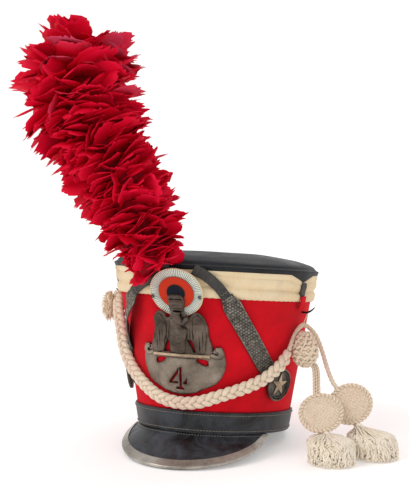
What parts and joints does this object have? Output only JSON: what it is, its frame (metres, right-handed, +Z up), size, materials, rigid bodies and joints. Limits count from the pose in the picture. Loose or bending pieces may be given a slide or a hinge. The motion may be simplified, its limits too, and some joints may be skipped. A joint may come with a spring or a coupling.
{
  "type": "parade shako hat",
  "caption": "Red cloth parade shako with leather crown and peak, eagle plate, cockade, leaning feather plume, chin straps and plaited cord with tassels.",
  "frame": {"origin": "on the table under the middle of the hat with its plume, cords left out; the hat rests on the back of its rim and the front of its peak", "axes": "+Z up from the table, front towards -Y, the wearer's left side towards +X; pieces named right are on the +X side"},
  "size_m": [0.4114, 0.3016, 0.5006],
  "materials": {
    "red_cloth": "woven wool cloth",
    "cream_cloth": "woven wool cloth, padded",
    "black_leather": "blacked leather, slightly glossy, worn",
    "pewter_trim": "dull grey metal strip",
    "cast_pewter": "cast white metal, aged",
    "white_ribbon": "pleated ribbon",
    "orange_ribbon": "pleated ribbon",
    "navy_ribbon": "flat ribbon",
    "mail_scales": "linked dark scales",
    "black_wire": "black lacquered wire",
    "red_feather": "dyed downy feathers",
    "cord_cotton": "plaited and woven cotton cord"
  },
  "bodies": {
    "root": {"braid": "cord_cotton", "cockade_centre": "navy_ribbon", "cockade_middle": "orange_ribbon", "cockade_outer": "white_ribbon", "cord_flat": "cord_cotton", "cord_round": "cord_cotton", "crown": "black_leather", "head_band": "black_leather", "hook_left": "black_wire", "hook_right": "black_wire", "hook_string": "cord_cotton", "knot": "cord_cotton", "peak": "black_leather", "peak_trim": "pewter_trim", "plate": "cast_pewter", "plume": "red_feather", "plume_socket": "black_leather", "raquette_a": "cord_cotton", "raquette_b": "cord_cotton", "red_tab": "red_cloth", "rosette_left": "cast_pewter", "rosette_right": "cast_pewter", "shell": "red_cloth", "side_tab_left": "black_leather", "side_tab_right": "black_leather", "strap_end_left": "black_leather", "strap_end_right": "black_leather", "strap_left": "mail_scales", "strap_right": "mail_scales", "tassel_a": "cord_cotton", "tassel_b": "cord_cotton", "tuft": "cord_cotton", "white_band_back": "cream_cloth", "white_band_front": "cream_cloth"}
  },
  "joints": []
}
